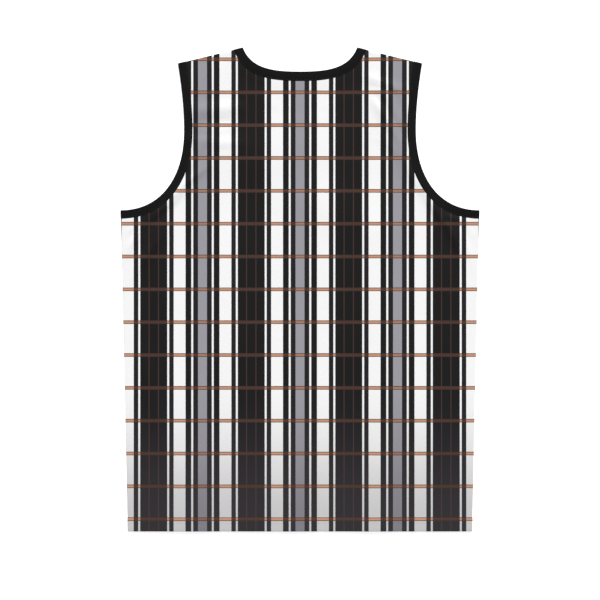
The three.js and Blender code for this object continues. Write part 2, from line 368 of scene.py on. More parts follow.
RIPPLES = creases(
    # Right strap and armhole, mostly running down and outwards
    (132, 305, -24, 46, 4.6, 0.68, -3),
    (152, 306, -60, 50, 4.4, 0.61, -2),
    (132, 270, -50, 58, 4.6, 0.74, 3),
    (156, 258, -58, 56, 4.2, 0.61, 2),
    (150, 236, -56, 60, 4.8, 0.61, -2),
    (137, 226, -38, 46, 5.2, 0.47, -3),
    (169, 186, -66, 70, 4.4, 0.68, 2),
    (200, 150, -52, 60, 4.4, 0.61, 3),
    (127, 325, -30, 30, 3.2, 0.34, -2),
    (129, 297, -38, 34, 3.0, 0.32, 2),
    (127, 284, -42, 36, 3.2, 0.32, 2),
    (130, 257, -46, 38, 3.0, 0.30, 2),
    (128, 243, -44, 34, 3.2, 0.26, 1),
    # Right underarm
    (214, 118, -58, 46, 4.6, 0.68, 2),
    (243, 109, -16, 40, 4.8, 0.81, 2),
    (238, 84, -66, 56, 4.4, 0.75, -2),
    (246, 60, -74, 60, 4.8, 0.70, 3),
    (265, 92, -60, 40, 4.2, 0.54, -1),
    (267, 50, -72, 56, 4.6, 0.54, 2),
    # Left strap, where they lie nearly level, and beside the left armhole
    (-132, 263, 2, 66, 5.2, -0.61, -3),
    (-134, 247, -2, 60, 5.2, 0.47, 3),
    (-130, 212, -4, 70, 5.6, 0.54, 4),
    (-156, 268, 78, 52, 4.6, 0.61, 3),
    (-151, 240, 66, 46, 4.4, 0.54, -2),
    (-167, 228, 62, 50, 4.2, 0.54, 2),
    (-149, 205, 55, 48, 4.4, 0.54, -3),
    (-157, 181, 34, 56, 4.8, 0.61, -4),
    (-189, 157, 46, 60, 4.6, 0.61, -3),
    (-216, 123, 40, 50, 4.4, 0.68, -3),
    (-130, 291, 10, 36, 3.4, 0.26, -2),
    (-128, 270, -6, 38, 3.2, 0.24, 2),
    (-131, 222, 6, 40, 3.4, 0.26, -2),
    # Left underarm, fanning out from the seam
    (-263, 109, 24, 38, 4.4, 0.68, 2),
    (-260, 98, 42, 36, 3.6, 0.80, -2),
    (-257, 82, 56, 54, 3.8, 0.95, 2),
    (-266, 60, 60, 50, 3.6, 0.85, -1),
    (-246, 44, 60, 70, 5.2, 0.80, -3),
    (-221, 96, 47, 66, 5.2, 0.47, 3),
    # Body, hem and under the neckline, where they are faint
    (-205, -58, 96, 110, 7.0, 0.40, 4),
    (-64, -176, 78, 130, 8.0, 0.35, -5),
    (88, -214, 99, 120, 7.4, 0.40, 4),
    (196, -96, 88, 100, 7.0, 0.35, -4),
    (-148, -352, 92, 70, 7.0, 0.45, 2),
    (-74, -358, 84, 58, 6.4, 0.35, -2),
    (46, -354, 95, 64, 7.2, 0.45, 3),
    (176, -350, 88, 72, 6.6, 0.40, -2),
    (6, 262, 4, 120, 9.0, 0.30, 6),
    (-58, 296, -24, 72, 7.0, 0.30, -4),
    (64, 292, 21, 66, 6.6, 0.30, 3),
)


@dataclass(frozen=True)
class Bed:
    """How the cloth lies: one layer on the other, turned over at the seams and softly creased on top."""

    cut: Cut
    turn_radius: float = 0.95
    turn_settle: float = 30.0
    panel_seam_height: float = 1.35
    band_lift: float = 0.4
    band_lift_from: float = 1.5
    band_lift_reach: float = 20.0
    band_samples: int = 90
    resting_loft: float = 0.5
    ripple_fade: float = 14.0

    def folds(self, x: np.ndarray, y: np.ndarray) -> np.ndarray:
        """Height of the upper layer's broad folds over its flat rest."""
        return np.maximum(0.0, self.resting_loft + sum(crease.lift(x, y) for crease in FOLDS))

    def ripples(self, x: np.ndarray, y: np.ndarray) -> np.ndarray:
        """Height of the finer creases over the folds."""
        return sum(crease.lift(x, y) for crease in RIPPLES)

    def beside_bands(self, points: np.ndarray, face: Face) -> np.ndarray:
        """How far the thicker strips lift the cloth beside them, from 1 at a strip to 0.

        Args:
            points: Points of the right half of the cut.
            face: The layer they are on.

        Returns:
            The share of the lift at each point.
        """
        away = np.full(points.shape[:-1], np.inf)
        for edge in (self.cut.neckline(face), self.cut.armhole(face)):
            distances = np.linspace(0.0, edge.length, self.band_samples)
            for place in edge.point(distances, np.full(self.band_samples, edge.width)):
                away = np.minimum(away, np.linalg.norm(points - place, axis=-1))
        return 1.0 - smooth(self.band_lift_from, self.band_lift_reach, away)

    def lay(
        self,
        points: np.ndarray,
        hand: Hand,
        face: Face,
        proud: np.ndarray | float,
        lifted: np.ndarray | float,
        clearance: float = 0.0,
    ) -> np.ndarray:
        """Lays points of the right half of the cut on the surface.

        Args:
            points: The points, with x and y last.
            hand: The side they are wanted on.
            face: The layer they are on.
            proud: How far out of the cloth's middle each one lies.
            lifted: 1 in a strip or beside it, falling to 0 away from it.
            clearance: The least height over or under the seam's middle.

        Returns:
            The places in millimetres, with x, y and z last.
        """
        radius = self.turn_radius
        place = points.copy()
        angle = np.full(points.shape[:-1], QUARTER)
        out = np.zeros_like(points)
        fold_share = np.ones(points.shape[:-1])
        ripple_share = np.ones(points.shape[:-1])
        slack = (QUARTER - 1.0) * radius
        for seam in (self.cut.side_seam, self.cut.shoulder_seam):
            inside = seam.inside(points)
            turned = np.minimum(inside / radius, QUARTER)
            settled = np.maximum(0.0, 1.0 - (inside - QUARTER * radius) / self.turn_settle)
            flat = inside - slack * settled
            plan = np.where(turned < QUARTER, radius * (1.0 - np.cos(turned)), flat)
            place += seam.out * (inside - plan)[..., None]
            fold_share *= smooth(0.0, seam.relief_fade, inside)
            ripple_share *= smooth(0.0, self.ripple_fade, inside)
            nearer = turned < angle
            angle = np.where(nearer, turned, angle)
            out = np.where(nearer[..., None], seam.out, out)
        rise = np.maximum(clearance, (radius + proud) * np.sin(angle))
        height = self.panel_seam_height + self.band_lift * np.asarray(lifted) + face.layer * rise
        if face is Face.BACK:
            where = (hand.value * place[..., 0], place[..., 1])
            height = height + fold_share * self.folds(*where) + ripple_share * self.ripples(*where)
        place = place + out * (np.asarray(proud) * np.cos(angle))[..., None]
        return np.stack([hand.value * place[..., 0], place[..., 1], height], axis=-1)


class MeshMaker:
    """Gathers grids of points, with a flat place for each, and makes one welded mesh object of them."""

    WELD = 1e-4
    SHARP = math.radians(50)

    def __init__(self) -> None:
        """Starts with no faces."""
        self.corners: list[np.ndarray] = []
        self.flats: list[np.ndarray] = []

    def grid(self, places: np.ndarray, flats: np.ndarray, turned: bool) -> None:
        """Adds the faces between neighbouring points of a grid.

        Args:
            places: Points in millimetres, in rows and columns.
            flats: Each point's place on the flat cut, in millimetres.
            turned: Whether the faces look the other way.
        """
        quads = [(0, 0), (0, 1), (1, 1), (1, 0)]
        if turned:
            quads.reverse()
        rows, columns = places.shape[:2]

        def corner_stack(table: np.ndarray) -> np.ndarray:
            picked = [table[r : rows - 1 + r, c : columns - 1 + c] for r, c in quads]
            return np.stack(picked, axis=2).reshape(-1, 4, table.shape[-1])

        self.corners.append(corner_stack(places))
        self.flats.append(corner_stack(flats))

    def make(self, name: str) -> bpy.types.Object:
        """Makes the object.

        Args:
            name: The piece's name.

        Returns:
            The new object, linked to the scene, with its flat places in a UV map named cut, in metres.
        """
        corners = np.concatenate(self.corners)
        flats = np.concatenate(self.flats)
        keys = np.round(corners.reshape(-1, 3) / self.WELD).astype(np.int64)
        _, first, back = np.unique(keys, axis=0, return_index=True, return_inverse=True)
        vertices = corners.reshape(-1, 3)[first] * MM
        indices = back.reshape(-1, 4)
        faces, places = [], []
        for face, flat in zip(indices.tolist(), flats):
            kept = [i for i in range(4) if face[i] != face[i - 1]]
            if len(kept) > 2:
                faces.append([face[i] for i in kept])
                places.append(flat[kept])
        mesh = bpy.data.meshes.new(name)
        mesh.from_pydata(vertices.tolist(), [], faces)
        layer = mesh.uv_layers.new(name="cut")
        layer.uv.foreach_set("vector", (np.concatenate(places) * MM).astype(np.float32).ravel())
        mesh.polygons.foreach_set("use_smooth", np.ones(len(faces), dtype=bool))
        mesh.set_sharp_from_angle(angle=self.SHARP)
        mesh.update()
        return placed(name, mesh)


@dataclass(frozen=True)
class Division:
    """How finely a panel is divided: rows in its three zones, and columns from the middle outwards."""

    body_rows: int
    armhole_rows: int
    neck_rows: int
    columns: int
    split: float


@dataclass
class Panel:
    """One knit panel, with its side and shoulder edges turned over and its hem folded up."""

    cut: Cut
    bed: Bed
    face: Face
    division: Division
    thickness: float = 0.7
    seam_clearance: float = 0.06
    under_band: float = 5.0
    turn_steps: tuple[float, ...] = (0.35, 0.7, 1.05, 1.5, 3.5, 8.0)
    underarm_dip: float = 35.0
    hem_round: tuple[float, ...] = (0.0, 0.12, 0.35, 0.7)
    hem_edge_share: float = 0.3
    hem_extra: float = 0.35
    hem_inner_extra: float = 0.15
    hem_step: float = 1.6
    hem_rows: int = 6
    fold_rows: int = 5
    body_bend: float = 2.0

    def _distances(self, edge: BoundEdge, split: float, before: int) -> np.ndarray:
        """Distances along a bound edge at which rows of the panel start or end.

        Args:
            edge: The neckline or the armhole.
            split: The share of it below the neckline.
            before: The number of rows below the split.

        Returns:
            The distances, closer together near a seam.
        """
        near = np.array([self.seam_clearance, *self.turn_steps])
        start = near if edge.start_seam is not None else np.array([0.0])
        end = edge.length - near[::-1]
        middle = edge.length * split
        lower = np.linspace(start[-1], middle, before + 1)[1:] if before else np.array([])
        upper = np.linspace(max(middle, start[-1]), end[0], self.division.neck_rows + 1)[1:]
        return np.concatenate([start, lower, upper, end[1:]])

    def _rows(self) -> tuple[np.ndarray, np.ndarray, np.ndarray, int]:
        """The panel's rows, from the hem up to the shoulder seam.

        Returns:
            Their inner ends, their outer ends, how much each bends, and how many start on the centre line.
        """
        cut, division = self.cut, self.division
        neck, hole = cut.neckline(self.face), cut.armhole(self.face)
        along_neck = self._distances(neck, 0.0, 0)
        along_hole = self._distances(hole, division.split, division.armhole_rows)
        on_neck = neck.point(along_neck, np.full(len(along_neck), neck.width - self.under_band))
        on_hole = hole.point(along_hole, np.full(len(along_hole), hole.width - self.under_band))
        neck_start = len(on_hole) - len(on_neck)
        corner = on_hole[0]

        body = corner[1] - cut.hem_y
        fold = cut.hem_depth
        even = np.linspace(fold + self.hem_step, body, division.body_rows)
        near_fold = np.linspace(fold - self.hem_step, fold + self.hem_step, self.fold_rows)[:-1]
        below = np.linspace(self.hem_round[-1], near_fold[0], self.hem_rows)[1:-1]
        heights = np.concatenate([self.hem_round, below, near_fold, even])
        share = heights / body
        outer_x = (cut.hem_half - self.seam_clearance) * (1 - share) + corner[0] * share
        outer = np.stack([outer_x, cut.hem_y + heights], axis=-1)
        inner = np.stack([np.zeros_like(share), outer[:, 1] - self.underarm_dip * share**3], axis=-1)
        bend = np.full(len(share), self.body_bend)

        reach = (along_hole[1 : neck_start + 1] - along_hole[0]) / (along_hole[neck_start] - along_hole[0])
        middle_y = corner[1] - self.underarm_dip + (on_neck[0, 1] - corner[1] + self.underarm_dip) * reach
        beside_hole = np.stack([np.zeros_like(reach), middle_y], axis=-1)
        inner = np.concatenate([inner, beside_hole, on_neck[1:]])
        outer = np.concatenate([outer, on_hole[1:]])
        bend = np.concatenate([bend, self.body_bend - reach, np.ones(len(on_neck) - 1)])
        return inner, outer, bend, len(share) + neck_start

    def _points(self) -> tuple[np.ndarray, int]:
        """The panel's points on the flat cut.

        Returns:
            The points in rows and columns, and how many rows start on the centre line.
        """
        inner, outer, bend, on_centre = self._rows()
        span = np.linalg.norm(outer - inner, axis=1)[:, None]
        near = 1.0 - (np.array(self.turn_steps)[::-1] - self.seam_clearance) / span
        even = np.linspace(0.0, 1.0, self.division.columns + 1)[:-1] * near[:, :1]
        shares = np.concatenate([even, near, np.ones_like(span)], axis=1)
        x = inner[:, :1] + (outer - inner)[:, :1] * shares
        y = inner[:, 1:] + (outer - inner)[:, 1:] * shares ** bend[:, None]
        return np.stack([x, y], axis=-1), on_centre

    def build(self) -> bpy.types.Object:
        """Makes the panel as a closed wall.

        Returns:
            The panel's object.
        """
        points, on_centre = self._points()
        lifted = self.bed.beside_bands(points, self.face)
        from_hem = points[..., 1] - self.cut.hem_y
        curl = np.clip(from_hem / self.hem_round[-1], 0.0, 1.0)
        thin = self.hem_edge_share + (1.0 - self.hem_edge_share) * np.sqrt(1.0 - (1.0 - curl) ** 2)
        fold = self.cut.hem_depth
        in_hem = 1.0 - smooth(fold - self.hem_step, fold + self.hem_step, from_hem)
        half = self.thickness / 2
        outer_extra, inner_extra = (
            (self.hem_extra, 0.0) if self.face is Face.BACK else (0.0, self.hem_inner_extra)
        )
        maker = MeshMaker()
        for hand in Hand:
            flats = points * np.array([hand.value, 1.0])
            turned = hand.value * self.face.layer < 0
            faces = []
            for side, extra in ((1, outer_extra), (-1, inner_extra)):
                proud = side * (half + extra * in_hem) * thin
                faces.append(self.bed.lay(points, hand, self.face, proud, lifted, self.seam_clearance))
            outside, inside = faces
            maker.grid(outside, flats, turned)
            maker.grid(inside, flats, not turned)
            rims = [
                (slice(None), slice(-1, None), False),
                (slice(0, 1), slice(None), False),
                (slice(-1, None), slice(None), True),
                (slice(on_centre - 1, None), slice(0, 1), True),
            ]
            for rows, columns, other in rims:
                pair = np.stack([outside[rows, columns].reshape(-1, 3), inside[rows, columns].reshape(-1, 3)])
                flat = np.stack([flats[rows, columns].reshape(-1, 2)] * 2)
                maker.grid(pair, flat, turned != other)
        return maker.make(f"{self.face.value}_cloth")


@dataclass(frozen=True)
class Station:
    """A run of places along one bound edge, on one side and layer, that a strip passes through."""

    edge: BoundEdge
    hand: Hand
    face: Face
    distances: np.ndarray


@dataclass
class Strip:
    """A folded strip of knit sewn over a bound edge: a closed ring with a U-shaped section."""

    name: str
    bed: Bed
    runs: list[Station]
    turned: bool
    ply: float = 0.42
    half: float = 0.8
    fold_flat: float = 0.12
    fold_corners: int = 7
    fold_end: float = 2.2
    swell: float = 0.05
    stitch_inset: float = 2.1
    stitch_groove: float = 0.14
    groove_half: float = 0.5
    groove_reach: tuple[float, float] = (1.5, 1.15)
    bank_share: float = 0.6
    edge_round: tuple[float, float] = (0.45, 0.1)
    seam_gap: float = 2.6

    def section(self, width: float) -> np.ndarray:
        """The strip's section, as depth into the cloth and distance out of its middle, all round.

        Args:
            width: Width of the strip.

        Returns:
            The corners of one closed section, in order.
        """
        half, ply, swell = self.half, self.ply, self.swell
        fold = half - self.fold_flat
        turn = np.linspace(-QUARTER, QUARTER, self.fold_corners)
        edge = [(fold * (1 - math.cos(a)), half * math.sin(a)) for a in turn]
        stitch = width - self.stitch_inset
        bank = half - self.stitch_groove * self.bank_share
        groove_start, groove_end = self.groove_reach
        edge_start, edge_end = self.edge_round
        # From the fold over the swell and the groove of the stitches to the turned-in edge
        upper = [
            (self.fold_end, half + swell * 0.6),
            (width * 0.5, half + swell),
            (stitch - groove_start, half + swell * 0.4),
            (stitch - self.groove_half, bank),
            (stitch, half - self.stitch_groove),
            (stitch + self.groove_half, bank),
            (stitch + groove_end, half),
            (width - edge_start, half - swell),
            (width - edge_end, half - swell * 4),
            (width, half - ply + swell * 0.4),
        ]
        cavity = [(width * 0.5, half - ply), (fold + 0.5, half - ply), (fold, 0.0)]
        lower = [(depth, -min(proud, half)) for depth, proud in reversed(upper)]
        inner = [(depth, -proud) for depth, proud in reversed(cavity[:-1])]
        return np.array([*edge, *upper, *cavity, *inner, *lower])

    def build(self) -> bpy.types.Object:
        """Makes the strip as a closed ring.

        Returns:
            The strip's object.
        """
        places, flats, run_length = [], [], 0.0
        for run in self.runs:
            section = self.section(run.edge.width)
            count = len(section)
            distances = np.repeat(run.distances[:, None], count, axis=1)
            depths = np.repeat(section[None, :, 0], len(run.distances), axis=0)
            points = run.edge.point(distances, depths)
            places.append(self.bed.lay(points, run.hand, run.face, section[:, 1], 1.0))
            along = run_length + np.abs(distances - distances[0, 0])
            around = np.repeat(np.arange(count)[None, :], len(run.distances), axis=0)
            flats.append(np.stack([along, around * run.edge.width / count], axis=-1))
            run_length = float(along[-1, 0])
        ring = np.concatenate(places)
        flat = np.concatenate(flats)
        closing = flat[:1] + np.array([run_length + 1.0, 0.0])
        ring = np.concatenate([ring, ring[:1]])
        flat = np.concatenate([flat, closing])
        ring = np.concatenate([ring, ring[:, :1]], axis=1)
        flat = np.concatenate([flat, flat[:, -1:]], axis=1)
        maker = MeshMaker()
        maker.grid(ring, flat, self.turned)
        return maker.make(self.name)

    def stitch_lines(self) -> list[tuple[np.ndarray, np.ndarray]]:
        """The lines in the grooves that the strip's stitches follow, each up to just before a seam.

        Returns:
            For each run its points and the cloth's outward directions there, in millimetres.
        """
        proud = self.half - self.stitch_groove
        lines = []
        for run in self.runs:
            from_seam = run.edge.length - run.distances
            if run.edge.start_seam is not None:
                from_seam = np.minimum(from_seam, run.distances)
            distances = run.distances[from_seam > self.seam_gap]
            points = run.edge.point(distances, np.full(len(distances), run.edge.width - self.stitch_inset))
            low = self.bed.lay(points, run.hand, run.face, proud, 1.0)
            high = self.bed.lay(points, run.hand, run.face, proud + 1.0, 1.0)
            lines.append((low, unit(high - low)))
        return lines


class Nodes:
    """A node tree, with a short way to add nodes to it."""

    def __init__(self, tree: bpy.types.NodeTree) -> None:
        """Takes the tree."""
        self.tree = tree

    def feed(self, socket: bpy.types.NodeSocket, value: object) -> None:
        """Links a socket to an output or to a node's first output, or gives it a fixed value."""
        if isinstance(value, bpy.types.Node):
            value = value.outputs[0]
        if isinstance(value, bpy.types.NodeSocket):
            self.tree.links.new(value, socket)
        else:
            socket.default_value = value

    def add(
        self, kind: str, feeds: dict[str | int, object] | None = None, **settings: object
    ) -> bpy.types.Node:
        """Adds a node.

        Args:
            kind: Its type.
            feeds: What goes into its inputs, by their names or numbers.
            settings: Its properties.

        Returns:
            The node.
        """
        node = self.tree.nodes.new(kind)
        for name, value in settings.items():
            setattr(node, name, value)
        for key, value in (feeds or {}).items():
            self.feed(node.inputs[key], value)
        return node


@dataclass(frozen=True)
class Stitch:
    """One kind of sewing: its thread's finish, and its stitches' spacing, length and radius."""

    thread: bpy.types.Material
    pitch: float
    length: float
    radius: float = 0.19


class StitchTree(Nodes):
    """A Geometry Nodes tree that sews rows of short stitches along lines of edges."""

    INPUTS = {
        "Pitch": ("NodeSocketFloat", 2.8 * MM),
        "Stitch length": ("NodeSocketFloat", 2.2 * MM),
        "Thread radius": ("NodeSocketFloat", 0.2 * MM),
        "Unevenness": ("NodeSocketFloat", 0.08),
        "Thread": ("NodeSocketMaterial", None),
    }
    SEED = 23

    def __init__(self) -> None:
        """Builds the tree."""
        super().__init__(bpy.data.node_groups.new("stitch_row", "GeometryNodeTree"))
        sockets = self.tree.interface
        sockets.new_socket("Geometry", in_out="INPUT", socket_type="NodeSocketGeometry")
        for name, (kind, default) in self.INPUTS.items():
            socket = sockets.new_socket(name, in_out="INPUT", socket_type=kind)
            if default is not None:
                socket.default_value = default
        sockets.new_socket("Geometry", in_out="OUTPUT", socket_type="NodeSocketGeometry")
        self._wire()

    def _wire(self) -> None:
        """Adds and joins the nodes."""
        given = self.add("NodeGroupInput").outputs
        curve = self.add("GeometryNodeMeshToCurve", {"Mesh": given["Geometry"]})
        even = self.add(
            "GeometryNodeResampleCurve", {"Curve": curve, "Length": given["Pitch"]}, mode="LENGTH"
        )
        ball = self.add("GeometryNodeMeshUVSphere", {"Segments": 6, "Rings": 5, "Radius": 1.0})
        half = self.add("ShaderNodeMath", {0: given["Stitch length"], 1: 0.5}, operation="MULTIPLY")
        radius = given["Thread radius"]
        size = self.add("ShaderNodeCombineXYZ", {"X": half, "Y": radius, "Z": radius})
        thread = self.add("GeometryNodeTransform", {"Geometry": ball, "Scale": size})

        tangent = self.add("GeometryNodeInputTangent")
        forward = self.add("FunctionNodeAlignRotationToVector", {"Vector": tangent}, axis="X")
        up = self.add("GeometryNodeInputNamedAttribute", {"Name": "up"}, data_type="FLOAT_VECTOR")
        upright = self.add(
            "FunctionNodeAlignRotationToVector",
            {"Rotation": forward, "Vector": up.outputs["Attribute"]},
            axis="Z",
            pivot_axis="X",
        )
        least = self.add("ShaderNodeMath", {0: 1.0, 1: given["Unevenness"]}, operation="SUBTRACT")
        uneven = self.add(
            "FunctionNodeRandomValue", {"Min": least, "Max": 1.0, "Seed": self.SEED}, data_type="FLOAT"
        )
        sewn = self.add(
            "GeometryNodeInstanceOnPoints",
            {"Points": even, "Instance": thread, "Rotation": upright, "Scale": uneven.outputs["Value"]},
        )
        real = self.add("GeometryNodeRealizeInstances", {"Geometry": sewn})
        rounded = self.add("GeometryNodeSetShadeSmooth", {"Geometry": real})
        flat = self.add(
            "GeometryNodeStoreNamedAttribute",
            {"Name": "cut", "Geometry": rounded, "Value": self.add("GeometryNodeInputPosition")},
            data_type="FLOAT2",
            domain="CORNER",
        )
        painted = self.add("GeometryNodeSetMaterial", {"Geometry": flat, "Material": given["Thread"]})
        self.add("NodeGroupOutput", {"Geometry": painted})

    def sew(
        self, name: str, lines: list[tuple[np.ndarray, np.ndarray]], stitch: Stitch
    ) -> bpy.types.Object:
        """Sews stitches along lines, as one plain mesh.

        Args:
            name: The piece's name.
            lines: For each line its points and outward directions, in millimetres.
            stitch: The kind of sewing.

        Returns:
            The stitches' object.
        """
        vertices, ups, edges = [], [], []
        for points, outward in lines:
            first = len(vertices)
            vertices.extend((points * MM).tolist())
            ups.extend(outward.tolist())
            edges.extend((first + i, first + i + 1) for i in range(len(points) - 1))
        path = bpy.data.meshes.new(f"{name}_path")
        path.from_pydata(vertices, edges, [])
        attribute = path.attributes.new("up", "FLOAT_VECTOR", "POINT")
        attribute.data.foreach_set("vector", np.array(ups, dtype=np.float32).ravel())
        piece = placed(name, path)
        modifier = piece.modifiers.new("stitches", "NODES")
        modifier.node_group = self.tree
        values = {
            "Pitch": stitch.pitch * MM,
            "Stitch length": stitch.length * MM,
            "Thread radius": stitch.radius * MM,
            "Thread": stitch.thread,
        }
        for item in self.tree.interface.items_tree:
            if item.in_out == "INPUT" and item.name in values:
                modifier[item.identifier] = values[item.name]
        graph = bpy.context.evaluated_depsgraph_get()
        mesh = bpy.data.meshes.new_from_object(piece.evaluated_get(graph), depsgraph=graph)
        piece.modifiers.remove(modifier)
        mesh.materials.clear()
        mesh.materials.append(stitch.thread)
        mesh.polygons.foreach_set("material_index", np.zeros(len(mesh.polygons), dtype=np.int32))
        piece.data = mesh
        mesh.name = name
        bpy.data.meshes.remove(path)
        return piece


def linear(red: int, green: int, blue: int) -> tuple[float, float, float, float]:
    """A screen colour from 0 to 255 as a linear colour with alpha 1."""
    return (*[((c / 255 + 0.055) / 1.055) ** 2.4 if c > 10 else c / 3294.6 for c in (red, green, blue)], 1.0)


class Tone(Enum):
    """The print's colours."""

    BLACK = linear(16, 15, 17)
    CHARCOAL = linear(27, 25, 28)
    GREY = linear(150, 148, 155)
    WHITE = linear(238, 238, 238)
    COPPER = linear(190, 139, 112)
    DARK_COPPER = linear(70, 48, 40)
    BROWN = linear(60, 42, 36)
    HAZE = linear(66, 62, 67)


class Graph(Nodes):
    """A material's node tree, with short ways to its usual nodes."""

    def __init__(self, name: str) -> None:
        """Starts a material with no nodes."""
        self.material = bpy.data.materials.new(name)
        self.material.use_nodes = True
        super().__init__(self.material.node_tree)
        self.tree.nodes.clear()

    def math(self, operation: str, *values: object) -> bpy.types.NodeSocket:
        """The result of a sum on numbers or outputs."""
        return self.add("ShaderNodeMath", dict(enumerate(values)), operation=operation).outputs[0]

    def mix(self, share: object, first: object, second: object, kind: str = "MIX") -> bpy.types.NodeSocket:
        """Two colours mixed by a share."""
        node = self.add("ShaderNodeMix", data_type="RGBA", blend_type=kind)
        for name, value in (("Factor_Float", share), ("A_Color", first), ("B_Color", second)):
            self.feed(next(s for s in node.inputs if s.identifier == name), value)
        return next(s for s in node.outputs if s.identifier == "Result_Color")

    def toned(self, colour: object, pattern: object, depth: float, least: float) -> bpy.types.NodeSocket:
        """A colour times a pattern that is first scaled by depth and raised by least."""
        return self.mix(1.0, colour, self.math("MULTIPLY_ADD", pattern, depth, least), "MULTIPLY")

    def rise(self, value: object, low: float, high: float) -> bpy.types.NodeSocket:
        """0 at low, 1 at high, and smooth between them."""
        feeds = {"Value": value, "From Min": low, "From Max": high}
        return self.add("ShaderNodeMapRange", feeds, interpolation_type="SMOOTHSTEP").outputs["Result"]

    def zigzag(self, value: object, half: float) -> bpy.types.NodeSocket:
        """0 at 0, 1 at half, and so on to and fro."""
        return self.math("DIVIDE", self.math("PINGPONG", value, half), half)

    def flat_place(self) -> tuple[bpy.types.NodeSocket, bpy.types.NodeSocket]:
        """Millimetres across and up the flat cut."""
        source = self.add("ShaderNodeUVMap", uv_map="cut")
        scaled = self.add("ShaderNodeVectorMath", {0: source, "Scale": 1 / MM}, operation="SCALE")
        split = self.add("ShaderNodeSeparateXYZ", {0: scaled})
        return split.outputs["X"], split.outputs["Y"]

    def noise(self, scale: float, detail: float) -> bpy.types.NodeSocket:
        """Soft noise on the piece's own place, with scale cells in each metre."""
        place = self.add("ShaderNodeTexCoord").outputs["Object"]
        feeds = {"Vector": place, "Scale": scale, "Detail": detail}
        return self.add("ShaderNodeTexNoise", feeds).outputs["Fac"]

    def surface(self, colour: object, height: object, relief: float, **constants: float) -> None:
        """Ends the tree in a cloth surface.

        Args:
            colour: The colour, or an output that gives it.
            height: An output from 0 to 1 that raises the surface.
            relief: How far it raises it, in millimetres.
            constants: Fixed values of the shader's sockets, with underscores for spaces.
        """
        bump = self.add("ShaderNodeBump", {"Strength": 1.0, "Distance": relief * MM, "Height": height})
        fixed = {name.replace("_", " "): value for name, value in constants.items()}
        shader = self.add("ShaderNodeBsdfPrincipled", {"Base Color": colour, "Normal": bump, **fixed})
        self.add("ShaderNodeOutputMaterial", {"Surface": shader})


@dataclass(frozen=True)
class PrintedKnit:
    """Smooth polyester knit with a mirrored check printed on it.

    stripes are the bars from the middle of a grey one to the middle of the next black one, each as
    its width in the half repeat and its tone. The cross lines are copper with brown edges.
    """

    stripes: tuple[tuple[float, Tone], ...] = (
        (7.0, Tone.GREY),
        (7.5, Tone.CHARCOAL),
        (3.0, Tone.WHITE),
        (9.0, Tone.BLACK),
        (18.5, Tone.WHITE),
        (7.0, Tone.CHARCOAL),
        (3.0, Tone.WHITE),
        (13.0, Tone.BLACK),
        (1.4, Tone.DARK_COPPER),
        (6.6, Tone.BLACK),
    )
    line_spacing: float = 51.2
    line_half: float = 1.8
    edge_half: float = 2.8
    light_ground: float = 0.5
    bleed: float = 0.3
    wale: float = 0.84
    course: float = 1.05
    loop_lean: float = 0.35
    relief: float = 0.05
    mottle: float = 0.05
    mottle_noise: tuple[float, float] = (420.0, 3.0)
    haze_from: float = -140.0
    haze_to: float = -379.0
    haze_share: float = 0.42

    def _bars(self, graph: Graph, across: object) -> bpy.types.NodeSocket:
        """The bars' colours, mirrored at both ends of the half repeat, with slightly soft edges.

        Args:
            graph: The material's nodes.
            across: Millimetres across the bars.

        Returns:
            The colour output.
        """
        half = sum(width for width, _ in self.stripes)
        share = graph.zigzag(across, half)
        ramp = graph.add("ShaderNodeValToRGB")
        stops = ramp.color_ramp
        stops.elements[0].color = self.stripes[0][1].value
        edge = 0.0
        for (width, tone), (_, following) in zip(self.stripes, self.stripes[1:]):
            edge += width
            for offset, colour in ((-self.bleed / 2, tone.value), (self.bleed / 2, following.value)):
                stops.elements.new((edge + offset) / half).color = colour
        stops.elements[-1].color = self.stripes[-1][1].value
        graph.feed(ramp.inputs["Fac"], share)
        return ramp.outputs["Color"]

    def _lined(self, graph: Graph, up: object, ground: object) -> bpy.types.NodeSocket:
        """The cross lines over the bars, darker where the bars are dark.

        Args:
            graph: The material's nodes.
            up: Millimetres up the cloth.
            ground: The colour under the lines.

        Returns:
            The colour output.
        """
        away = graph.math("PINGPONG", up, self.line_spacing / 2)
        on_light = graph.rise(ground, 0.0, self.light_ground)
        copper = graph.mix(on_light, Tone.DARK_COPPER.value, Tone.COPPER.value)
        soft = self.bleed / 2
        edged = graph.mix(
            graph.rise(away, self.line_half - soft, self.line_half + soft), copper, Tone.BROWN.value
        )
        return graph.mix(graph.rise(away, self.edge_half - soft, self.edge_half + soft), edged, ground)

    def material(self) -> bpy.types.Material:
        """The finish as a material."""
        graph = Graph("checked_cloth")
        across, up = graph.flat_place()
        hazed = graph.math("MULTIPLY", graph.rise(up, self.haze_from, self.haze_to), self.haze_share)
        ground = graph.mix(hazed, self._bars(graph, across), Tone.HAZE.value)
        printed = self._lined(graph, up, ground)
        worn = graph.toned(printed, graph.noise(*self.mottle_noise), self.mottle, 1.0 - self.mottle / 2)

        loop = graph.zigzag(across, self.wale / 2)
        row = graph.math("MULTIPLY_ADD", loop, self.loop_lean, graph.math("DIVIDE", up, self.course))
        knit = graph.math("SINE", graph.math("MULTIPLY", row, 2 * math.pi))
        height = graph.math("MULTIPLY", loop, graph.math("MULTIPLY_ADD", knit, 0.5, 0.5))
        graph.surface(
            worn,
            height,
            self.relief,
            Roughness=0.62,
            Specular_IOR_Level=0.18,
            Sheen_Weight=0.04,
            Sheen_Roughness=0.4,
        )
        return graph.material


